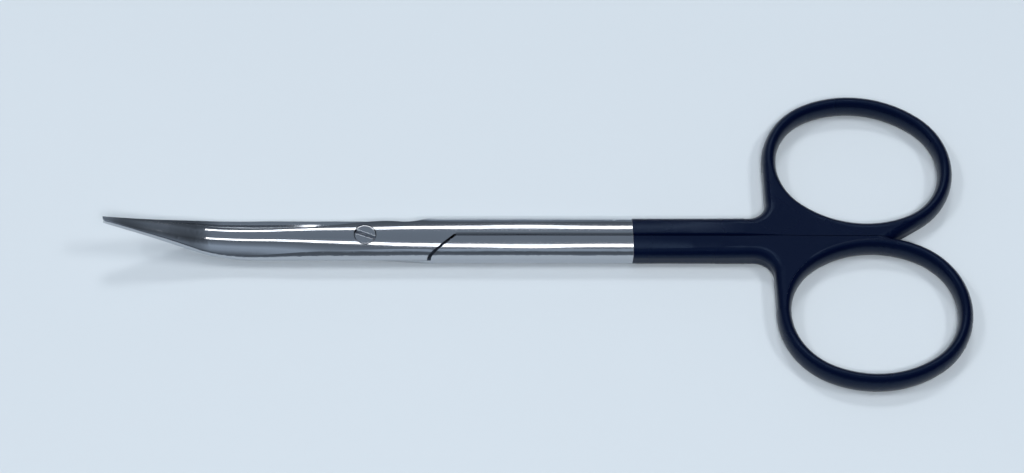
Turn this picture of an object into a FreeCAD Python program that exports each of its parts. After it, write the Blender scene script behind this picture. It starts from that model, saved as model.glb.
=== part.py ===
"""Curved dissecting scissors: two forged halves that cross in a lap joint on one slotted screw.

Lengths are millimetres. The origin is on the pivot axis in the plane that the closed
scissors rest on. +X runs to the finger rings, +Y to the ring of the upper half, +Z up.
Both halves are cut from one closed outline, the blank, as the real pair is ground when
closed. The blades slide on each other along a surface turned about the pivot axis, so
the upturned tips stay clear of each other at every opening angle.
"""
import FreeCAD, Part
import math
import os

import Sketcher
from FreeCAD import Placement, Rotation, Vector

doc = FreeCAD.newDocument("dissecting_scissors")

# Driving sizes: name, value, what it is
SIZES = [
    ("thickness", 4.8, "height of joint, shanks and rings"),
    ("lap_gap", 0.04, "gap between the sliding faces of the blades"),
    ("shank_gap", 0.10, "gap between the closed shanks"),
    ("shoulder_gap", 0.45, "gap at the slanted shoulder of the lap joint"),
    ("shoulder_reach", 15.2, "pivot to the shoulder, on the centre line"),
    ("shoulder_lean", 1.2, "shoulder run along X for each millimetre across"),
    ("groove_depth", 0.26, "depth of the eased inner edges of the shanks"),
    ("bend_start", 19.5, "pivot to the start of the upward bend of the blades"),
    ("bend_radius", 25.0, "radius of the bend, seen from the side"),
    ("bend_angle", 20.0, "slope of the blades past the bend, in degrees"),
    ("nose_round", 0.7, "radius of the rounded points, seen from above"),
    ("neck_start", 64.0, "pivot to the flat neck of the rings"),
    ("neck_width", 3.75, "half width of the closed neck"),
    ("neck_lap", 0.5, "length of the neck inside the end of the shank"),
    ("neck_ease", 0.02, "faces of the neck under those of the shank where they meet"),
    ("neck_taper", 12.0, "length over which the neck thins to the height of the rings"),
    ("neck_sink", 0.05, "faces of the neck under the crests of the rings"),
    ("neck_over", 0.12, "neck past the crest line of the rings, inside the wire"),
    ("flare_radius", 3.3, "radius of the flare between neck and ring, seen from above"),
    ("flare_inset", 0.1, "side of the flare inside the outermost line of the ring"),
    ("notch_x", 89.5, "pivot to the notch where the closed rings part"),
    ("notch_lean", 31.5, "lean of the end of the neck at the notch, from +X, in degrees"),
    ("web_reach", 10.0, "ring centre to the last of the neck, inside the wire"),
    ("edge_round", 1.6, "radius of the rounded edges of the neck"),
    ("ring_height", 4.4, "height of the oval wire of the rings"),
    ("ring_wire", 2.5, "width of the wire of the rings"),
    ("screw_head_radius", 1.85, "radius of the screw head"),
    ("screw_radius", 1.15, "radius of the screw below its head"),
    ("screw_rim", 0.55, "height of the straight rim of the head"),
    ("screw_cone", 0.9, "height of the tapered part of the head"),
    ("screw_sink", 0.12, "head below the top of the joint"),
    ("screw_chamfer", 0.12, "broken edge of the head"),
    ("screw_clearance", 0.04, "radial clearance in the upper half"),
    ("screw_seat", 0.01, "radial clearance in the lower half"),
    ("slot_width", 0.6, "width of the screwdriver slot"),
    ("slot_depth", 0.7, "depth of the screwdriver slot"),
    ("slot_angle", -21.0, "direction of the slot from +X, in degrees"),
]

# Finger rings, each an oval wire: centre X and |Y| and lean, then half length, half width and
# end radius of the oval that the middle of the wire follows
RING_FIELDS = ["x", "y", "lean", "length", "width", "end"]
RINGS = {
    "upper": (84.3, 14.38, 6.9, 15.18, 12.52, 11.5),
    "lower": (85.3, 13.85, 5.4, 15.35, 13.03, 12.2),
}

# Sections of the closed blank, from the rings to the points: name, X, half width, half
# height, crown radius, corner radius, then the land beside the cutting edge and the run
# of the ground bevel over the half height, where there is an edge
SECTION_FIELDS = ["x", "half_width", "half_height", "crown", "corner", "land", "run"]
SECTIONS = [
    ("shank_blend", 57.0, 3.75, 2.40, 17.0, 1.50),
    ("shank_rear", 50.0, 3.75, 2.40, 12.8, 1.45),
    ("shank_middle", 34.0, 3.75, 2.40, 12.3, 1.42),
    ("shank_front", 18.0, 3.75, 2.40, 12.0, 1.42),
    ("edge_heel", 12.0, 3.75, 2.40, 11.6, 1.42, -0.10, 0.05),
    ("joint_rear", 4.0, 3.77, 2.40, 10.5, 1.42, 0.38, 0.75),
    ("joint_front", -4.0, 3.80, 2.40, 8.8, 1.36, 0.58, 1.35),
    ("blade_root", -13.0, 3.80, 2.36, 6.8, 1.10, 0.68, 1.95),
    ("blade_middle", -20.0, 3.74, 2.24, 5.8, 0.85, 0.68, 1.95),
    ("bend_middle", -25.0, 3.42, 2.04, 5.6, 0.60, 0.60, 1.70),
    ("bend_end", -29.0, 2.86, 1.80, 5.6, 0.45, 0.46, 1.35),
    ("blade_fine", -34.0, 1.98, 1.46, 5.0, 0.35, 0.30, 0.95),
    ("blade_slim", -39.0, 1.22, 1.12, 4.0, 0.28, 0.18, 0.60),
    ("point", -43.5, 0.62, 0.80, 3.0, 0.20, 0.08, 0.35),
]

# Distance under which two places count as one
TOUCH = 0.01

# Height and width that pass right through anything that is cut
TALL = "sizes.thickness * 4"
WIDE = "sizes.neck_start"

# Parts of the blade's half height that a bevel cutter reaches below and above the edge
BEVEL_BELOW = 0.3
BEVEL_ABOVE = 1.3

sheet = doc.addObject("Spreadsheet::Sheet", "sizes")
cells = [(alias, value, note) for alias, value, note in SIZES]
for half, values in RINGS.items():
    cells += [(f"{half}_ring_{field}", value, "finger ring") for field, value in zip(RING_FIELDS, values)]
for name, *values in SECTIONS:
    cells += [(f"{name}_{field}", value, "section") for field, value in zip(SECTION_FIELDS, values)]
for row, (alias, value, note) in enumerate(cells, start=1):
    sheet.set(f"A{row}", alias)
    sheet.set(f"B{row}", repr(value))
    sheet.set(f"C{row}", note)
    sheet.setAlias(f"B{row}", alias)
doc.recompute()


def value(text):
    """Number that an expression on the sheet gives."""
    result = sheet.evalExpression(text)
    return float(getattr(result, "Value", result))


def parting_height(reach):
    """Height of the sliding face above its flat part, at a distance from the pivot axis."""
    slope = math.radians(value("sizes.bend_angle"))
    start = value("sizes.bend_start")
    radius = value("sizes.bend_radius")
    bend_end = start + radius * math.sin(slope)
    if reach <= start:
        return 0.0
    if reach <= bend_end:
        return radius - math.sqrt(radius ** 2 - (reach - start) ** 2)
    return radius * (1 - math.cos(slope)) + (reach - bend_end) * math.tan(slope)


def add(kind, name, **properties):
    """Document object with its plain properties set."""
    made = doc.addObject(kind, name)
    for key, setting in properties.items():
        setattr(made, key, setting)
    return made


def bind(made, expressions):
    """Bind properties of an object to expressions on the sheet."""
    for key, text in expressions.items():
        made.setExpression(key, text)
    return made


def box(name, low, high):
    """Box between two corners, each given as three expressions."""
    made = add("Part::Box", name)
    sides = {side: f"({b}) - ({a})" for side, a, b in zip(("Length", "Width", "Height"), low, high)}
    bases = {f"Placement.Base.{axis}": text for axis, text in zip("xyz", low)}
    return bind(made, {**sides, **bases})


def extrude(name, profile, height):
    """Upright solid from a plan outline, upwards from the outline's own height."""
    made = add("Part::Extrusion", name, Base=profile, DirMode="Custom", Dir=Vector(0, 0, 1), Solid=True)
    return bind(made, {"LengthFwd": height})


def cut(name, base, tool):
    """First solid less the second."""
    return add("Part::Cut", name, Base=base, Tool=tool)


def common(name, base, tool):
    """What two solids share."""
    return add("Part::Common", name, Base=base, Tool=tool)


def fuse(name, shapes):
    """Solids joined into one."""
    return add("Part::MultiFuse", name, Shapes=shapes, Refine=True)


def round_edges(name, base, radius, chosen):
    """Rounded edges of a solid, those for which chosen(edge) is true."""
    doc.recompute()
    numbers = [i for i, edge in enumerate(base.Shape.Edges, start=1) if chosen(edge)]
    made = add("Part::Fillet", name, Base=base)
    made.Edges = [(i, radius, radius) for i in numbers]
    return made


def cross_sketch(name, x_text):
    """Sketch across the scissors, centred on the parting face: its X is +Y, its Y is +Z."""
    sketch = doc.addObject("Sketcher::SketchObject", name)
    turn = Rotation(Vector(0, 1, 0), Vector(0, 0, 1), Vector(1, 0, 0), "ZXY")
    height = value("sizes.thickness") / 2 + parting_height(-value(x_text))
    sketch.Placement = Placement(Vector(0, 0, height), turn)
    sketch.setExpression("Placement.Base.x", x_text)
    return sketch


def name_rules(sketch, rules):
    """Add the sketch's dimensions, each bound to an expression."""
    for key, rule, text in rules:
        index = sketch.addConstraint(rule)
        sketch.renameConstraint(index, key)
        sketch.setExpression(f"Constraints.{key}", text)


def section_sketch(name, x_text, width, height, corner, crown=None):
    """Closed section with upright sides: crowned top and bottom, or flat without a crown."""
    sketch = cross_sketch(name, x_text)
    wide, high, small = value(width), value(height), value(corner)
    corner_y = wide - small
    if crown:
        large = value(crown)
        crown_z = high - large
        corner_z = crown_z + math.sqrt((large - small) ** 2 - corner_y ** 2)
        lean = math.atan2(corner_y, corner_z - crown_z)
    else:
        corner_z = high - small
        lean = 0.0
    right_angle = math.pi / 2

    def arc(y, z, radius, start, end):
        circle = Part.Circle(Vector(y, z, 0), Vector(0, 0, 1), radius)
        return Part.ArcOfCircle(circle, start, end)

    def face(side):
        if crown:
            middle = right_angle * side
            return arc(0, side * crown_z, large, middle - lean, middle + lean)
        ends = [Vector(turn * side * corner_y, side * high, 0) for turn in (1, -1)]
        return Part.LineSegment(*ends)

    edges = [
        arc(corner_y, corner_z, small, 0, right_angle - lean),
        face(1),
        arc(-corner_y, corner_z, small, right_angle + lean, 2 * right_angle),
        Part.LineSegment(Vector(-wide, corner_z, 0), Vector(-wide, -corner_z, 0)),
        arc(-corner_y, -corner_z, small, -2 * right_angle, -right_angle - lean),
        face(-1),
        arc(corner_y, -corner_z, small, -right_angle + lean, 0),
        Part.LineSegment(Vector(wide, -corner_z, 0), Vector(wide, corner_z, 0)),
    ]
    for edge in edges:
        sketch.addGeometry(edge, False)
    rule = Sketcher.Constraint
    for i in range(len(edges)):
        sketch.addConstraint(rule("Tangent", i, 2, (i + 1) % len(edges), 1))
    for i in (2, 4, 6):
        sketch.addConstraint(rule("Equal", 0, i))
    for i in (3, 7):
        sketch.addConstraint(rule("Vertical", i))
    rules = [
        ("corner", rule("Radius", 0, small), corner),
        ("left", rule("DistanceX", 3, 1, -1, 1, wide), width),
        ("right", rule("DistanceX", -1, 1, 7, 1, wide), width),
    ]
    if crown:
        sketch.addConstraint(rule("Equal", 1, 5))
        sketch.addConstraint(rule("PointOnObject", 1, 3, -2))
        drop = f"{crown} - {height}"
        rules += [
            ("crown", rule("Radius", 1, large), crown),
            ("top", rule("DistanceY", 1, 3, -1, 1, value(drop)), drop),
            ("bottom", rule("DistanceY", -1, 1, 5, 3, value(drop)), drop),
        ]
    else:
        rules += [
            ("top", rule("DistanceY", -1, 1, 1, 1, high), height),
            ("bottom", rule("DistanceY", 5, 1, -1, 1, high), height),
        ]
    name_rules(sketch, rules)
    return sketch


def polygon_sketch(sketch, corners):
    """Closed polygon, each corner given as two expressions."""
    points = [Vector(value(u), value(v), 0) for u, v in corners]
    count = len(points)
    for i in range(count):
        sketch.addGeometry(Part.LineSegment(points[i], points[(i + 1) % count]), False)
    rule = Sketcher.Constraint
    for i in range(count):
        sketch.addConstraint(rule("Coincident", i, 2, (i + 1) % count, 1))
    rules = []
    for i, (u, v) in enumerate(corners):
        for kind, text in (("DistanceX", u), ("DistanceY", v)):
            number = value(text)
            made = rule(kind, -1, 1, i, 1, number)
            rules.append((f"{kind[-1].lower()}{i}", made, text))
    name_rules(sketch, rules)
    return sketch


def plan_sketch(name, corners, z_text="0"):
    """Polygon seen from above."""
    sketch = doc.addObject("Sketcher::SketchObject", name)
    sketch.setExpression("Placement.Base.z", z_text)
    return polygon_sketch(sketch, corners)


def oval_sketch(name, length, width, end):
    """Oval of four tangent arcs about its own centre, from its half axes and end radius."""
    sketch = doc.addObject("Sketcher::SketchObject", name)
    flank = f"((({length}) - ({end})) ^ 2 + ({width}) ^ 2 - ({end}) ^ 2) / (2 * (({width}) - ({end})))"
    end_x = value(length) - value(end)
    large, small = value(flank), value(end)
    flank_y = large - value(width)
    turn = math.atan2(flank_y, end_x)
    right_angle = math.pi / 2
    arcs = [
        (end_x, 0, small, -turn, turn),
        (0, -flank_y, large, turn, 2 * right_angle - turn),
        (-end_x, 0, small, 2 * right_angle - turn, 2 * right_angle + turn),
        (0, flank_y, large, 2 * right_angle + turn, 4 * right_angle - turn),
    ]
    for x, y, radius, start, stop in arcs:
        circle = Part.Circle(Vector(x, y, 0), Vector(0, 0, 1), radius)
        sketch.addGeometry(Part.ArcOfCircle(circle, start, stop), False)
    rule = Sketcher.Constraint
    for i in range(3):
        sketch.addConstraint(rule("Tangent", i, 2, i + 1, 1))
        sketch.addConstraint(rule("PointOnObject", i, 3, -2 if i == 1 else -1))
    sketch.addConstraint(rule("Coincident", 3, 2, 0, 1))
    sketch.addConstraint(rule("Equal", 0, 2))
    sketch.addConstraint(rule("Equal", 1, 3))
    offset = f"({length}) - ({end})"
    name_rules(sketch, [
        ("end", rule("Radius", 0, small), end),
        ("flank", rule("Radius", 1, large), flank),
        ("right", rule("DistanceX", -1, 1, 0, 3, end_x), offset),
    ])
    return sketch


def make_blank():
    """Closed outline of both blades, the joint and the shanks, lofted along X."""
    sections = [section_sketch("neck_section", "sizes.neck_start", "sizes.neck_width",
                               "sizes.thickness / 2", "sizes.edge_round")]
    for name, *_ in SECTIONS:
        x, width, height, crown, corner = (f"sizes.{name}_{field}" for field in SECTION_FIELDS[:5])
        sections.append(section_sketch(f"{name}_section", x, width, height, corner, crown))
    loft = add("Part::Loft", "blank_loft", Sections=sections, Solid=True, Ruled=False)
    front = box("nose_block", ("sizes.point_x - sizes.thickness", "-sizes.thickness", "0"),
                ("sizes.point_x + sizes.nose_round", "sizes.thickness", TALL))
    nose = bind(add("Part::Cylinder", "nose_cylinder"), {
        "Radius": "sizes.nose_round",
        "Height": TALL,
        "Placement.Base.x": "sizes.point_x + sizes.nose_round",
    })
    return cut("blank", loft, cut("nose_cutter", front, nose))


def make_sliding_zone(name, shift):
    """Everything above the sliding face, which is turned about the pivot axis."""
    sketch = doc.addObject("Sketcher::SketchObject", f"{name}_profile")
    sketch.Placement.Rotation = Rotation(Vector(1, 0, 0), 90)
    sketch.setExpression("Placement.Base.z", f"sizes.thickness / 2 + ({shift})")
    start = value("sizes.bend_start")
    radius = value("sizes.bend_radius")
    slope = math.radians(value("sizes.bend_angle"))
    reach = "sizes.thickness - sizes.point_x"
    far = value(reach)
    top = value(TALL)
    end_x = start + radius * math.sin(slope)
    points = [
        Vector(0, 0, 0),
        Vector(start, 0, 0),
        Vector(end_x, parting_height(end_x), 0),
        Vector(far, parting_height(far), 0),
        Vector(far, top, 0),
        Vector(0, top, 0),
    ]
    bend = Part.Circle(Vector(start, radius, 0), Vector(0, 0, 1), radius)
    edges = [
        Part.LineSegment(points[0], points[1]),
        Part.ArcOfCircle(bend, -math.pi / 2, -math.pi / 2 + slope),
        Part.LineSegment(points[2], points[3]),
        Part.LineSegment(points[3], points[4]),
        Part.LineSegment(points[4], points[5]),
        Part.LineSegment(points[5], points[0]),
    ]
    for edge in edges:
        sketch.addGeometry(edge, False)
    rule = Sketcher.Constraint
    for made in (
        rule("Tangent", 0, 2, 1, 1), rule("Tangent", 1, 2, 2, 1), rule("Coincident", 2, 2, 3, 1),
        rule("Coincident", 3, 2, 4, 1), rule("Coincident", 4, 2, 5, 1), rule("Coincident", 5, 2, 0, 1),
        rule("Coincident", 0, 1, -1, 1), rule("Horizontal", 0), rule("Vertical", 3),
        rule("Horizontal", 4), rule("Vertical", 5),
    ):
        sketch.addConstraint(made)
    name_rules(sketch, [
        ("flat", rule("DistanceX", 0, 1, 0, 2, start), "sizes.bend_start"),
        ("bend", rule("Radius", 1, radius), "sizes.bend_radius"),
        ("slope", rule("Angle", 2, slope), "sizes.bend_angle * 1 deg"),
        ("reach", rule("DistanceX", -1, 1, 3, 1, far), reach),
        ("top", rule("DistanceY", 5, 2, 5, 1, top), TALL),
    ])
    return add("Part::Revolution", name, Source=sketch, Axis=Vector(0, 0, 1), Base=Vector(0, 0, 0),
               Angle=360.0, Solid=True)


def shank_side(name, side, edge, shift):
    """Plan of one shank right of its slanted shoulder, moved along X, as a tall block."""
    wide = "sizes.thickness * 2"
    across = "sqrt(1 + sizes.shoulder_lean ^ 2)"
    move = f"({shift}) * {across}"
    near = f"sizes.shoulder_reach - sizes.shoulder_lean * ({side}) * ({edge}) + {move}"
    wide_x = f"sizes.shoulder_reach - sizes.shoulder_lean * {wide} + {move}"
    far = "sizes.neck_start + sizes.thickness"
    corners = [
        (near, edge),
        (far, edge),
        (far, f"({side}) * {wide}"),
        (wide_x, f"({side}) * {wide}"),
    ]
    plan = plan_sketch(f"{name}_plan", corners, "-sizes.thickness")
    return extrude(name, plan, TALL)


def make_bevel_cutter(half, side):
    """What the grinding of one cutting edge takes away, lofted along the blade."""
    sketches = []
    rows = [row[0] for row in SECTIONS if len(row) > len(SECTION_FIELDS) - 1]
    stations = [(name, f"sizes.{name}_x") for name in rows] + [("point", "sizes.point_x - sizes.nose_round * 2")]
    for number, (name, x_text) in enumerate(stations):
        width, height, land, run = (f"sizes.{name}_{key}" for key in
                                    ("half_width", "half_height", "land", "run"))
        edge = f"{width} - {land}"
        beside = f"{width} + sizes.thickness / 2"
        under = f"-{height} * {BEVEL_BELOW}"
        over = f"{height} * {BEVEL_ABOVE}"
        corners = [
            (f"{edge} + {run} * {BEVEL_BELOW}", under),
            (beside, under),
            (beside, over),
            (f"{edge} - {run} * {BEVEL_ABOVE}", over),
        ]
        turned = [(f"({side}) * ({u})", f"({side}) * ({v})") for u, v in corners]
        sketches.append(polygon_sketch(cross_sketch(f"{half}_bevel_{number}", x_text), turned))
    return add("Part::Loft", f"{half}_bevel", Sections=sketches, Solid=True, Ruled=False)


def ring_oval(half, side, name, past):
    """Oval along the wire of one ring, or that oval grown by a distance."""
    field = f"sizes.{half}_ring"
    sizes = [f"{field}_{key} + ({past})" for key in ("length", "width", "end")]
    sketch = oval_sketch(name, *sizes)
    sketch.Placement.Rotation = Rotation(Vector(0, 0, 1), -side * value(f"{field}_lean"))
    return bind(sketch, {
        "Placement.Base.x": f"{field}_x",
        "Placement.Base.y": f"({side}) * {field}_y",
    })


def make_ring(half, side):
    """Finger ring of one half: an upright ellipse swept along its oval."""
    path = ring_oval(half, side, f"{half}_ring_path", "0")
    path.setExpression("Placement.Base.z", "sizes.ring_height / 2")
    doc.recompute()
    first = path.Shape.Edges[0]
    start = first.valueAt(first.FirstParameter)
    forward = first.tangentAt(first.FirstParameter)
    section = bind(add("Part::Ellipse", f"{half}_ring_section"), {
        "MajorRadius": "sizes.ring_height / 2",
        "MinorRadius": "sizes.ring_wire / 2",
    })
    section.Placement = Placement(start, Rotation(Vector(0, 0, 1), Vector(), forward, "ZXY"))
    return add("Part::Sweep", f"{half}_ring", Sections=[section], Spine=(path, []), Solid=True)


def neck_plan(half, side):
    """Neck of one ring seen from above: a flare out to the ring, and a slanted end at the notch."""
    field = f"sizes.{half}_ring"
    flare_x = (f"{field}_x - ({field}_length - {field}_end) * cos({field}_lean * 1 deg) - {field}_end"
               " - sizes.ring_wire / 2 + sizes.flare_inset")
    flare_start = f"{flare_x} - sizes.flare_radius"
    web_x = f"{field}_x + sizes.web_reach"
    radius = value("sizes.flare_radius")
    lean = math.radians(value("sizes.notch_lean"))
    inner = -side * value("sizes.neck_width") / 4
    outer = side * value("sizes.neck_width - sizes.neck_ease")
    start = value("sizes.neck_start - sizes.neck_lap")
    ring_y = side * value(f"{field}_y")
    notch = value("sizes.notch_x")
    points = [
        Vector(start, inner, 0),
        Vector(start, outer, 0),
        Vector(value(flare_start), outer, 0),
        Vector(value(flare_x), outer + side * radius, 0),
        Vector(value(flare_x), ring_y, 0),
        Vector(value(web_x), ring_y, 0),
        Vector(value(web_x), side * (value(web_x) - notch) * math.tan(lean), 0),
        Vector(notch + side * inner / math.tan(lean), inner, 0),
    ]
    centre = Vector(points[2].x, points[3].y, 0)
    circle = Part.Circle(centre, Vector(0, 0, 1), radius)
    sketch = doc.addObject("Sketcher::SketchObject", f"{half}_neck_plan")
    for i, point in enumerate(points):
        edge = Part.LineSegment(point, points[(i + 1) % len(points)])
        if i == 2:
            edge = Part.ArcOfCircle(circle, *sorted((-side * math.pi / 2, 0)))
        sketch.addGeometry(edge, False)
    rule = Sketcher.Constraint
    arc_start, arc_end = (1, 2) if side > 0 else (2, 1)
    sketch.addConstraint(rule("Tangent", 1, 2, 2, arc_start))
    sketch.addConstraint(rule("Tangent", 2, arc_end, 3, 1))
    for i in (0, 3, 4, 5, 6, 7):
        sketch.addConstraint(rule("Coincident", i, 2, (i + 1) % len(points), 1))
    for i in (0, 3, 5):
        sketch.addConstraint(rule("Vertical", i))
    for i in (1, 4, 7):
        sketch.addConstraint(rule("Horizontal", i))
    rise = f"({side}) * ({web_x} - sizes.notch_x) * tan(sizes.notch_lean * 1 deg)"
    shift = "sizes.notch_x - sizes.neck_width / 4 / tan(sizes.notch_lean * 1 deg)"
    name_rules(sketch, [
        ("start", rule("DistanceX", -1, 1, 0, 1, start), "sizes.neck_start - sizes.neck_lap"),
        ("flare_x", rule("DistanceX", -1, 1, 4, 1, points[4].x), flare_x),
        ("web_x", rule("DistanceX", -1, 1, 5, 1, points[5].x), web_x),
        ("notch", rule("DistanceX", -1, 1, 7, 1, points[7].x), shift),
        ("inner", rule("DistanceY", -1, 1, 7, 1, inner), f"({-side}) * sizes.neck_width / 4"),
        ("outer", rule("DistanceY", -1, 1, 1, 1, outer),
         f"({side}) * (sizes.neck_width - sizes.neck_ease)"),
        ("ring_y", rule("DistanceY", -1, 1, 4, 1, ring_y), f"({side}) * {field}_y"),
        ("web_rise", rule("DistanceY", -1, 1, 6, 1, points[6].y), rise),
        ("flare", rule("Radius", 2, radius), "sizes.flare_radius"),
    ])
    return sketch


def make_neck(half, side):
    """Flat neck that carries one ring, thinning to the ring's height, its outer edges rounded."""
    plan = extrude(f"{half}_neck_block", neck_plan(half, side), "sizes.thickness")
    profile = doc.addObject("Sketcher::SketchObject", f"{half}_neck_profile")
    profile.Placement.Rotation = Rotation(Vector(1, 0, 0), 90)
    profile.setExpression("Placement.Base.y", f"{WIDE} / 2")
    thin = "sizes.neck_start + sizes.neck_taper"
    end = f"sizes.{half}_ring_x + sizes.web_reach"
    polygon_sketch(profile, [
        ("sizes.neck_start - sizes.neck_lap", "sizes.neck_ease"),
        (thin, "sizes.neck_sink"),
        (end, "sizes.neck_sink"),
        (end, "sizes.ring_height - sizes.neck_sink"),
        (thin, "sizes.ring_height - sizes.neck_sink"),
        ("sizes.neck_start - sizes.neck_lap", "sizes.thickness - sizes.neck_ease"),
    ])
    side_view = add("Part::Extrusion", f"{half}_neck_side", Base=profile, DirMode="Custom",
                    Dir=Vector(0, -1, 0), Solid=True)
    side_view.setExpression("LengthFwd", WIDE)
    block = common(f"{half}_neck_slab", plan, side_view)
    doc.recompute()
    bounds = block.Shape.BoundBox
    ring_y = side * value(f"sizes.{half}_ring_y")
    inner = -side * value("sizes.neck_width") / 4

    def outer_edge(edge):
        low, high, middle = edge.BoundBox.YMin, edge.BoundBox.YMax, edge.CenterOfMass
        level = edge.BoundBox.ZLength < value("sizes.thickness") / 2
        ends = middle.x < bounds.XMin + TOUCH or middle.x > bounds.XMax - TOUCH
        along_ring = abs(low - ring_y) < TOUCH and abs(high - ring_y) < TOUCH
        along_inner = abs(low - inner) < TOUCH and abs(high - inner) < TOUCH
        across = edge.BoundBox.XLength < TOUCH and low * high < 0
        return level and not (ends or along_ring or along_inner or across)

    rounded = round_edges(f"{half}_neck_round", block, value("sizes.edge_round"), outer_edge)
    core = ring_oval(half, side, f"{half}_neck_crest", "-sizes.neck_over")
    return cut(f"{half}_neck", rounded, extrude(f"{half}_crest_core", core, "sizes.thickness"))


def make_half(half, side, blank, layer, hole):
    """One forging: blade layer, shank, neck and ring, less the other half's room."""
    edge = f"({side}) * sizes.shank_gap / 2"
    other = "-1" if side > 0 else "1"
    own = shank_side(f"{half}_shank_zone", str(side), edge, "sizes.shoulder_gap / 2")
    lost = shank_side(f"{half}_lost_zone", other, edge, "-sizes.shoulder_gap / 2")
    blade = cut(f"{half}_blade_layer", layer, lost)
    blade = cut(f"{half}_blade", blade, make_bevel_cutter(half, side))
    shank = common(f"{half}_shank", blank, own)
    whole = fuse(f"{half}_forging", [blade, shank, make_neck(half, side), make_ring(half, side)])
    low_y = f"-({WIDE})" if side > 0 else "-sizes.shank_gap / 2"
    high_y = "sizes.shank_gap / 2" if side > 0 else WIDE
    far_side = box(f"{half}_far_side", ("sizes.neck_start - sizes.thickness", low_y, "-sizes.thickness"),
                   ("sizes.neck_start * 2", high_y, "sizes.thickness * 2"))
    whole = cut(f"{half}_closed_face", whole, far_side)
    for level, height in (("top", "sizes.thickness"), ("under", "0")):
        groove = add("Part::Box", f"{half}_{level}_groove")
        groove.Placement.Rotation = Rotation(Vector(1, 0, 0), 45)
        span = "(sizes.groove_depth + sizes.shank_gap / 2)"
        bind(groove, {
            "Length": "sizes.neck_start + sizes.neck_taper - sizes.shoulder_reach",
            "Width": f"{span} * sqrt(2)",
            "Height": f"{span} * sqrt(2)",
            "Placement.Base.x": "sizes.shoulder_reach",
            "Placement.Base.z": f"{height} - {span}",
        })
        whole = cut(f"{half}_eased_{level}", whole, groove)
    whole = cut(f"{half}_half", whole, hole)
    whole.Label = f"{half}_half"
    return whole


def screw_form(name, clearance):
    """Head, taper and body of the screw, or the room for them with a clearance."""
    top = "sizes.thickness" if clearance else "sizes.thickness - sizes.screw_sink"
    rim_low = "sizes.thickness - sizes.screw_sink - sizes.screw_rim"
    cone_low = f"{rim_low} - sizes.screw_cone"
    extra = clearance or "0"
    body = bind(add("Part::Cylinder", f"{name}_body"), {
        "Radius": f"sizes.screw_radius + {extra}",
        "Height": f"{rim_low}",
    })
    cone = bind(add("Part::Cone", f"{name}_cone"), {
        "Radius1": f"sizes.screw_radius + {extra}",
        "Radius2": f"sizes.screw_head_radius + {extra}",
        "Height": "sizes.screw_cone",
        "Placement.Base.z": cone_low,
    })
    head = bind(add("Part::Cylinder", f"{name}_head"), {
        "Radius": f"sizes.screw_head_radius + {extra}",
        "Height": f"{top} - ({rim_low})",
        "Placement.Base.z": rim_low,
    })
    return fuse(name, [body, cone, head])


def make_screw():
    """Slotted countersunk pivot screw."""
    form = screw_form("screw_form", None)
    head_z = value("sizes.thickness - sizes.screw_sink")
    doc.recompute()
    chamfer = value("sizes.screw_chamfer")
    top_edges = [i for i, edge in enumerate(form.Shape.Edges, start=1)
                 if edge.BoundBox.ZMin > head_z - TOUCH]
    eased = add("Part::Chamfer", "screw_eased", Base=form)
    eased.Edges = [(i, chamfer, chamfer) for i in top_edges]
    slot = add("Part::Box", "screw_slot")
    bind(slot, {
        "Length": "sizes.screw_head_radius * 4",
        "Width": "sizes.slot_width",
        "Height": "sizes.slot_depth * 2",
    })
    turn = math.radians(value("sizes.slot_angle"))
    reach = value("sizes.screw_head_radius") * 2
    half_slot = value("sizes.slot_width") / 2
    corner = Vector(-reach * math.cos(turn) + half_slot * math.sin(turn),
                    -reach * math.sin(turn) - half_slot * math.cos(turn),
                    head_z - value("sizes.slot_depth"))
    slot.Placement = Placement(corner, Rotation(Vector(0, 0, 1), value("sizes.slot_angle")))
    screw = cut("pivot_screw", eased, slot)
    screw.Label = "pivot_screw"
    return screw


blank = make_blank()
above = make_sliding_zone("zone_above", "sizes.lap_gap / 2")
not_below = make_sliding_zone("zone_not_below", "-sizes.lap_gap / 2")
seat = bind(add("Part::Cylinder", "screw_seat_bore"), {
    "Radius": "sizes.screw_radius + sizes.screw_seat",
    "Height": "sizes.thickness * 2",
    "Placement.Base.z": "-sizes.thickness / 2",
})
parts = [
    make_half("upper", 1, blank, common("upper_layer", blank, above),
              screw_form("screw_room", "sizes.screw_clearance")),
    make_half("lower", -1, blank, cut("lower_layer", blank, not_below), seat),
    make_screw(),
]
doc.recompute()

for item in doc.Objects:
    if "Invalid" in item.State or "Error" in item.State:
        raise RuntimeError(f"{item.Name} failed: {item.State}")
os.makedirs("parts", exist_ok=True)
for item in parts:
    shape = item.Shape
    if shape.isNull() or not shape.isValid() or len(shape.Solids) != 1:
        raise RuntimeError(f"{item.Label} is not one valid solid")
    shape.exportStep(f"parts/{item.Label}.step")
    print(item.Label, round(shape.Volume, 2), shape.BoundBox)
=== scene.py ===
"""Curved dissecting scissors with a black coated handle, lying tips up on a pale table."""
import math

import bpy
from mathutils import Matrix, Vector


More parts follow.
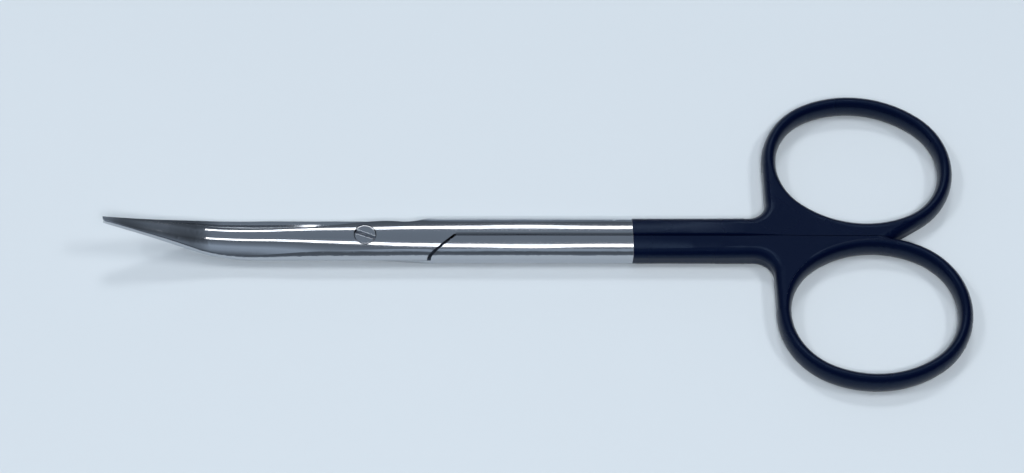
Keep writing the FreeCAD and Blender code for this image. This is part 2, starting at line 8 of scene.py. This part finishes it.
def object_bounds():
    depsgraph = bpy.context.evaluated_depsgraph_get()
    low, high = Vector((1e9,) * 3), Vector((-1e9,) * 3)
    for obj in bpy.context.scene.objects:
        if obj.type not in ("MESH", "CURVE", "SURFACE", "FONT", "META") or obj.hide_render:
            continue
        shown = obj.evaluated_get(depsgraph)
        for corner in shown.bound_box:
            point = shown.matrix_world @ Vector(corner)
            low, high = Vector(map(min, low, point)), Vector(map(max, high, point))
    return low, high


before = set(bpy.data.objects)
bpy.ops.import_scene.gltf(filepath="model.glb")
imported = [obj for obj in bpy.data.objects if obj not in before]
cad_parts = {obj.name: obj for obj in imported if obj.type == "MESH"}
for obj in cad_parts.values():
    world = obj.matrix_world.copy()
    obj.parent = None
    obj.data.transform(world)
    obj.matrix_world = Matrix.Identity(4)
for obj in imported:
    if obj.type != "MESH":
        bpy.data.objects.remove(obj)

CAD_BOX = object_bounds()
MM = 0.001

# Where the black coating starts, from the pivot towards the rings, and how far its edge wanders and fades
COATING_START = 45.0 * MM
COATING_WANDER = 0.12 * MM
COATING_FADE = 0.06 * MM


def srgb(red, green, blue):
    """Linear colour of an eight-bit screen colour, opaque."""
    def linear(channel):
        share = channel / 255
        return share / 12.92 if share <= 0.04045 else ((share + 0.055) / 1.055) ** 2.4
    return (linear(red), linear(green), linear(blue), 1.0)


class Nodes:
    """Short calls for building one node tree."""

    def __init__(self, tree):
        self.tree = tree
        tree.nodes.clear()

    def add(self, kind, inputs=None, **settings):
        """Node of a kind with its settings, and its inputs set to a value or linked from a socket."""
        node = self.tree.nodes.new(kind)
        for key, setting in settings.items():
            setattr(node, key, setting)
        for key, value in (inputs or {}).items():
            if isinstance(value, bpy.types.NodeSocket):
                self.tree.links.new(value, node.inputs[key])
            else:
                node.inputs[key].default_value = value
        return node

    def math(self, operation, first, second=0.0):
        """Result of one arithmetic step."""
        return self.add("ShaderNodeMath", {0: first, 1: second}, operation=operation).outputs[0]

    def remap(self, value, low, high, to_low=0.0, to_high=1.0):
        """Value moved from one range to another, held inside it."""
        made = self.add("ShaderNodeMapRange", {
            "Value": value, "From Min": low, "From Max": high, "To Min": to_low, "To Max": to_high,
        })
        return made.outputs["Result"]

    def noise(self, vector, scale, detail=2.0, roughness=0.5):
        """Cloudy pattern from 0 to 1."""
        made = self.add("ShaderNodeTexNoise", {
            "Vector": vector, "Scale": scale, "Detail": detail, "Roughness": roughness,
        })
        return made.outputs["Fac"]

    def stretched(self, vector, scale):
        """Coordinates scaled along each axis."""
        made = self.add("ShaderNodeMapping", {"Vector": vector, "Scale": scale})
        return made.outputs["Vector"]

    def mix(self, share, first, second, kind="RGBA"):
        """Colour, vector or number between two, by share."""
        made = self.tree.nodes.new("ShaderNodeMix")
        made.data_type = kind
        sockets = [item for item in made.inputs if item.enabled]
        for socket, value in zip(sockets, (share, first, second)):
            if isinstance(value, bpy.types.NodeSocket):
                self.tree.links.new(value, socket)
            else:
                socket.default_value = value
        return next(item for item in made.outputs if item.enabled)

    def bump(self, height, strength, distance, below=None):
        """Bumped normal, on top of another one."""
        inputs = {"Height": height, "Strength": strength, "Distance": distance}
        if below:
            inputs["Normal"] = below
        return self.add("ShaderNodeBump", inputs).outputs["Normal"]


def new_material(name):
    """Empty node material and its node helper."""
    material = bpy.data.materials.new(name)
    material.use_nodes = True
    return material, Nodes(material.node_tree)


def finish_surface(nodes, **inputs):
    """Principled surface with these inputs, joined to the output."""
    named = {key.replace("_", " "): value for key, value in inputs.items()}
    shader = nodes.add("ShaderNodeBsdfPrincipled", named)
    nodes.add("ShaderNodeOutputMaterial", {"Surface": shader.outputs["BSDF"]})
    return shader


# Crown radius of the blades and shanks along X, in millimetres. The last point lies past the faces
# that use it.
CROWN = [
    (-43.5, 3.0), (-40.1, 4.22), (-38.4, 4.0), (-36.7, 4.27), (-35.0, 4.72), (-33.4, 5.16), (-31.7, 5.45),
    (-30.0, 5.58), (-26.6, 5.59), (-23.1, 5.64), (-19.4, 5.84), (-15.8, 6.26), (-12.2, 6.99), (-8.6, 7.94),
    (-4.9, 8.66), (-1.3, 9.31), (2.3, 10.13), (6.0, 10.88), (9.6, 11.39), (15.0, 11.79), (20.5, 12.24),
    (24.1, 12.68), (27.7, 12.85), (31.3, 12.58), (36.8, 12.04), (42.2, 11.85), (47.7, 12.31), (51.3, 13.19),
    (54.9, 15.01), (58.6, 19.56),
]
# Where both faces of each half start to be crowned, and the height and reach of its flat joint faces
SHANK_START = 11.5 * MM
JOINT_HEIGHT = 2.4 * MM
JOINT_REACH = 1.5 * MM
# Difference between the crown's normal and the mesh's up to which the crown's counts in full, and
# from which it counts no more
CROWN_NEAR = 0.07
CROWN_FAR = 0.10


def crown_normal(nodes, parts, outward):
    """Normal of the true crown where the mesh is close to it, else the mesh's own.

    The crowned faces are arcs across X, so their exact normal follows from the place. It
    keeps the reflections of the strip lights as straight as on the ground steel. The inner
    faces of the joint, on the side away from outward, are flat and keep theirs.
    """
    curve = nodes.add("ShaderNodeFloatCurve", {
        "Value": nodes.remap(parts["X"], CROWN[0][0] * MM, CROWN[-1][0] * MM),
    })
    span = CROWN[-1][0] - CROWN[0][0]
    points = curve.mapping.curves[0].points
    largest = CROWN[-1][1]
    while len(points) < len(CROWN):
        points.new(0.5, 0.5)
    for point, (along, radius) in zip(points, CROWN):
        point.location = ((along - CROWN[0][0]) / span, radius / largest)
    curve.mapping.update()
    radius = nodes.math("MULTIPLY", curve.outputs["Value"], largest * MM)
    own = nodes.add("ShaderNodeTexCoord").outputs["Normal"]
    own_parts = nodes.add("ShaderNodeSeparateXYZ", {"Vector": own}).outputs
    level = nodes.math("SQRT", nodes.math("SUBTRACT", 1.0, nodes.math("POWER", own_parts["X"], 2.0)))
    exact = nodes.math("MULTIPLY", nodes.math("DIVIDE", parts["Y"], radius), level)
    step = nodes.math("SUBTRACT", exact, own_parts["Y"])
    near = nodes.remap(nodes.math("ABSOLUTE", step), CROWN_NEAR, CROWN_FAR, 1.0, 0.0)
    facing = nodes.math("GREATER_THAN", nodes.math("MULTIPLY", own_parts["Z"], outward), 0.0)
    off_joint = nodes.math("ABSOLUTE", nodes.math("SUBTRACT", parts["Z"], JOINT_HEIGHT))
    on_shank = nodes.math("MULTIPLY", nodes.math("GREATER_THAN", parts["X"], SHANK_START),
                          nodes.math("GREATER_THAN", off_joint, JOINT_REACH))
    crowned = nodes.math("MULTIPLY", nodes.math("MAXIMUM", facing, on_shank),
                         nodes.math("LESS_THAN", parts["X"], CROWN[-2][0] * MM))
    share = nodes.math("MULTIPLY", near, crowned)
    moved = nodes.math("ADD", own_parts["Y"], nodes.math("MULTIPLY", step, share))
    turned = nodes.add("ShaderNodeCombineXYZ", {"X": own_parts["X"], "Y": moved, "Z": own_parts["Z"]})
    world = nodes.add("ShaderNodeVectorTransform", {"Vector": turned.outputs["Vector"]},
                      vector_type="NORMAL", convert_from="OBJECT", convert_to="WORLD")
    unit = nodes.add("ShaderNodeVectorMath", {0: world.outputs["Vector"]}, operation="NORMALIZE")
    return unit.outputs["Vector"]


def steel_values(nodes, place, below):
    """Colour, roughness and normal of polished steel with fine grinding marks across it."""
    clouds = nodes.noise(place, 60.0, 3.0)
    marks = nodes.noise(nodes.stretched(place, (9000.0, 500.0, 500.0)), 1.0, 3.0, 0.6)
    scratches = nodes.noise(nodes.stretched(place, (260.0, 5200.0, 5200.0)), 1.0, 2.0, 0.6)
    colour = nodes.mix(clouds, srgb(184, 188, 194), srgb(192, 195, 201))
    roughness = nodes.math("ADD", nodes.remap(clouds, 0.3, 0.7, 0.06, 0.09),
                           nodes.math("MULTIPLY", marks, 0.02))
    normal = nodes.bump(marks, 0.12, 0.002 * MM, below)
    return colour, roughness, nodes.bump(scratches, 0.12, 0.002 * MM, normal)


def make_half_material(name, outward):
    """Polished steel blade and shank of one half, and the smooth black coating of its handle."""
    material, nodes = new_material(name)
    place = nodes.add("ShaderNodeTexCoord").outputs["Object"]
    parts = nodes.add("ShaderNodeSeparateXYZ", {"Vector": place}).outputs
    smooth = crown_normal(nodes, parts, outward)
    wander = nodes.noise(place, 900.0, 2.0)
    drift = nodes.math("MULTIPLY", nodes.math("SUBTRACT", wander, 0.5), COATING_WANDER)
    edge = nodes.math("ADD", parts["X"], drift)
    coated = nodes.remap(edge, COATING_START, COATING_START + COATING_FADE)
    steel, steel_roughness, steel_normal = steel_values(nodes, place, smooth)
    lacquer_clouds = nodes.noise(place, 45.0, 3.0)
    lacquer_grain = nodes.noise(place, 1500.0, 2.0)
    lacquer = nodes.mix(lacquer_clouds, srgb(0, 4, 29), srgb(1, 6, 33))
    lacquer_roughness = nodes.remap(lacquer_clouds, 0.3, 0.7, 0.25, 0.30)
    lacquer_normal = nodes.bump(lacquer_grain, 0.2, 0.005 * MM, smooth)
    finish_surface(
        nodes,
        Base_Color=nodes.mix(coated, steel, lacquer),
        Metallic=nodes.math("SUBTRACT", 1.0, coated),
        Roughness=nodes.mix(coated, steel_roughness, lacquer_roughness, "FLOAT"),
        Normal=nodes.mix(coated, steel_normal, lacquer_normal, "VECTOR"),
        Specular_IOR_Level=0.3,
        Specular_Tint=nodes.mix(coated, srgb(255, 255, 255), srgb(176, 214, 255)),
    )
    return material


# Slot of the screw: half its width, the run of its worn edges, its direction from +X in degrees and
# the tilt of its floor
SLOT_HALF = 0.3 * MM
SLOT_WORN = 0.16 * MM
SLOT_ANGLE = -21.0
SLOT_TILT = 0.17
# Screw head: radius, the radius where its rounded rim starts, how deep its edges are worn, the pitch
# of its turned rings, and the part of the rim darkened by painted shade in place of the shadow in the gap
# around the head
HEAD_RADIUS = 1.85 * MM
RIM_START = 1.55 * MM
WORN_DEPTH = 0.045 * MM
RING_PITCH = 0.09 * MM
RIM_SHADE_START = HEAD_RADIUS - 0.08 * MM
RIM_SHADE_FULL = HEAD_RADIUS - 0.02 * MM


def make_screw_material():
    """Polished steel of the pivot screw, with a worn slot, a rounded rim, fine turned rings and painted
    shade at the rim's edge.
    """
    material, nodes = new_material("screw_steel")
    place = nodes.add("ShaderNodeTexCoord").outputs["Object"]
    parts = nodes.add("ShaderNodeSeparateXYZ", {"Vector": place}).outputs
    reach = nodes.math("SQRT", nodes.math("ADD", nodes.math("MULTIPLY", parts["X"], parts["X"]),
                                          nodes.math("MULTIPLY", parts["Y"], parts["Y"])))
    turn = math.radians(SLOT_ANGLE)
    across = nodes.math("SUBTRACT", nodes.math("MULTIPLY", parts["Y"], math.cos(turn)),
                        nodes.math("MULTIPLY", parts["X"], math.sin(turn)))
    beside = nodes.math("ABSOLUTE", across)
    worn = nodes.math("POWER", nodes.remap(beside, SLOT_HALF, SLOT_HALF + SLOT_WORN, 1.0, 0.0), 2.0)
    rounded = nodes.math("POWER", nodes.remap(reach, RIM_START, HEAD_RADIUS), 2.0)
    height = nodes.math("SUBTRACT", 1.0, nodes.math("ADD", worn, rounded))
    ramp = nodes.remap(across, -SLOT_HALF, SLOT_HALF, 1.0, 0.0)
    slot_floor = nodes.bump(ramp, 1.0, 2 * SLOT_HALF * SLOT_TILT)
    shape = nodes.bump(height, 1.0, WORN_DEPTH, slot_floor)
    rings = nodes.math("SINE", nodes.math("MULTIPLY", reach, 2 * math.pi / RING_PITCH))
    clouds = nodes.noise(place, 700.0, 3.0)
    # Painted shade: the head turns dark grey at its outer edge, standing in for the shadow in the gap
    # around the screw
    rim_gap_shade = nodes.remap(reach, RIM_SHADE_START, RIM_SHADE_FULL)
    steel = nodes.mix(clouds, srgb(184, 188, 194), srgb(194, 197, 203))
    finish_surface(
        nodes,
        Base_Color=nodes.mix(rim_gap_shade, steel, srgb(60, 64, 72)),
        Metallic=1.0,
        Roughness=nodes.remap(clouds, 0.3, 0.7, 0.10, 0.15),
        Normal=nodes.bump(rings, 0.12, 0.001 * MM, shape),
    )
    return material


def make_table_material():
    """Pale blue-grey laminate with a faint unevenness."""
    material, nodes = new_material("pale_table")
    place = nodes.add("ShaderNodeTexCoord").outputs["Object"]
    clouds = nodes.noise(place, 7.0, 4.0)
    grain = nodes.noise(place, 260.0, 3.0)
    finish_surface(
        nodes,
        Base_Color=nodes.mix(clouds, srgb(205, 214, 221), srgb(209, 218, 225)),
        Roughness=0.55,
        Normal=nodes.bump(grain, 0.08, 0.05 * MM),
    )
    return material


def dress_object():
    """Give every CAD node its finish."""
    finishes = {
        "upper_half": make_half_material("upper_steel", 1.0),
        "lower_half": make_half_material("lower_steel", -1.0),
        "pivot_screw": make_screw_material(),
    }
    for name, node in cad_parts.items():
        node.data.materials.clear()
        node.data.materials.append(finishes[name])


def make_floor():
    """Table top that the scissors rest on."""
    bpy.ops.mesh.primitive_plane_add(size=4.0, location=(0.0, 0.0, CAD_BOX[0].z))
    floor = bpy.context.object
    floor.name = "table_top"
    floor.data.materials.append(make_table_material())


def look_from(target, azimuth, elevation, distance):
    """Place at a distance from a target, seen from an azimuth and an elevation in degrees."""
    turn, rise = math.radians(azimuth), math.radians(elevation)
    back = Vector((math.sin(turn) * math.cos(rise), -math.cos(turn) * math.cos(rise), math.sin(rise)))
    return target + back * distance, back


# Camera of the photograph
CAMERA_TARGET = Vector((24.8, 0.9, 2.4)) * MM
CAMERA_AZIMUTH = -7.0
CAMERA_ELEVATION = 60.0
CAMERA_ROLL = 6.1
CAMERA_DISTANCE = 625.0 * MM
CAMERA_LENS = 130.4


def make_camera():
    """Camera at the photograph's place, turned about its own axis by its roll."""
    place, back = look_from(CAMERA_TARGET, CAMERA_AZIMUTH, CAMERA_ELEVATION, CAMERA_DISTANCE)
    turn = math.radians(CAMERA_AZIMUTH)
    level = Vector((math.cos(turn), math.sin(turn), 0.0))
    roll = Matrix.Rotation(math.radians(CAMERA_ROLL), 3, back)
    right = roll @ level
    up = back.cross(right)
    data = bpy.data.cameras.new("photo_camera")
    data.lens = CAMERA_LENS
    data.sensor_width = 36.0
    data.clip_start = 0.01
    data.clip_end = 20.0
    camera = bpy.data.objects.new("photo_camera", data)
    camera.matrix_world = Matrix.Translation(place) @ Matrix((right, up, back)).transposed().to_4x4()
    bpy.context.scene.collection.objects.link(camera)
    bpy.context.scene.camera = camera


# Lights over the table: name, lean from overhead in degrees, compass direction that it leans to,
# counted from +X over +Y, length, width, watts
STRIPS = [
    ("overhead_strip", 9.5, 90.0, 1.48, 0.10, 2.3),
    ("rear_strip", 43.0, 90.0, 1.38, 0.11, 2.3),
]
PANELS = [
    ("rear_panel", 33.0, 90.0, 0.34, 0.2, 3.8),
    ("front_panel", 33.0, 270.0, 0.34, 0.2, 9.2),
    ("right_panel", 33.0, 0.0, 0.34, 0.2, 3.8),
    ("left_panel", 33.0, 180.0, 0.34, 0.2, 3.8),
]
# Distance of every light from the pivot, and where the strips start along X, in metres
LIGHT_DISTANCE = 1.4
STRIP_START = -0.9


def make_light(name, lean, compass, length, width, watts, shift=0.0):
    """Rectangular light that faces the scissors, its length level."""
    data = bpy.data.lights.new(name, "AREA")
    data.shape = "RECTANGLE"
    data.size = length
    data.size_y = width
    data.energy = watts
    light = bpy.data.objects.new(name, data)
    slope, turn = math.radians(lean), math.radians(compass)
    back = Vector((math.sin(slope) * math.cos(turn), math.sin(slope) * math.sin(turn), math.cos(slope)))
    along = Vector((math.sin(turn), -math.cos(turn), 0.0))
    place = back * LIGHT_DISTANCE + Vector((shift, 0.0, 0.0))
    light.matrix_world = (Matrix.Translation(place)
                          @ Matrix((along, back.cross(along), back)).transposed().to_4x4())
    bpy.context.scene.collection.objects.link(light)
    return light


def make_lights():
    """Two strips that only shine in the metal, and four panels that only light the surfaces."""
    for values in STRIPS:
        make_light(*values, shift=STRIP_START + values[3] / 2).visible_diffuse = False
    for values in PANELS:
        make_light(*values).visible_glossy = False


# Brightness of the room by lean from overhead, -90 at the near horizon and 90 at the far one
ROOM = [
    (-90, 0.25), (-65, 0.13), (-40, 0.14), (-27, 0.42), (-16, 0.50), (-8, 0.30), (3, 0.18), (14, 0.26),
    (38, 0.28), (48, 0.15), (60, 0.13), (65, 0.40), (73, 0.40), (77, 0.18), (90, 0.50),
]
# Cool colour of the room
ROOM_TINT = (0.84, 1.0, 1.2)
# Share of that brightness far to the +X side, and the part of the way where it starts and ends
ROOM_SIDE = 0.35
ROOM_SIDE_SPAN = (0.30, 0.52)


def make_room():
    """World lit as a dim room whose brightness changes from the near side over the top to the far one."""
    world = bpy.data.worlds.new("room")
    bpy.context.scene.world = world
    world.use_nodes = True
    nodes = Nodes(world.node_tree)
    direction = nodes.add("ShaderNodeTexCoord").outputs["Generated"]
    parts = nodes.add("ShaderNodeSeparateXYZ", {"Vector": direction}).outputs
    lean = nodes.math("ARCTAN2", parts["Y"], nodes.math("MAXIMUM", parts["Z"], 0.0))
    share = nodes.math("ADD", nodes.math("DIVIDE", lean, math.pi), 0.5)
    ramp = nodes.add("ShaderNodeValToRGB", {"Fac": share})
    stops = ramp.color_ramp.elements
    while len(stops) < len(ROOM):
        stops.new(0.5)
    for stop, (angle, level) in zip(stops, ROOM):
        stop.position = angle / 180 + 0.5
        stop.color = (*[level * part for part in ROOM_TINT], 1.0)
    side = nodes.remap(parts["X"], *ROOM_SIDE_SPAN, 1.0, ROOM_SIDE)
    background = nodes.add("ShaderNodeBackground", {"Color": ramp.outputs["Color"], "Strength": side})
    nodes.add("ShaderNodeOutputWorld", {"Surface": background.outputs["Background"]})


dress_object()
make_floor()
make_camera()
make_lights()
make_room()
bpy.context.scene.view_settings.view_transform = "Standard"
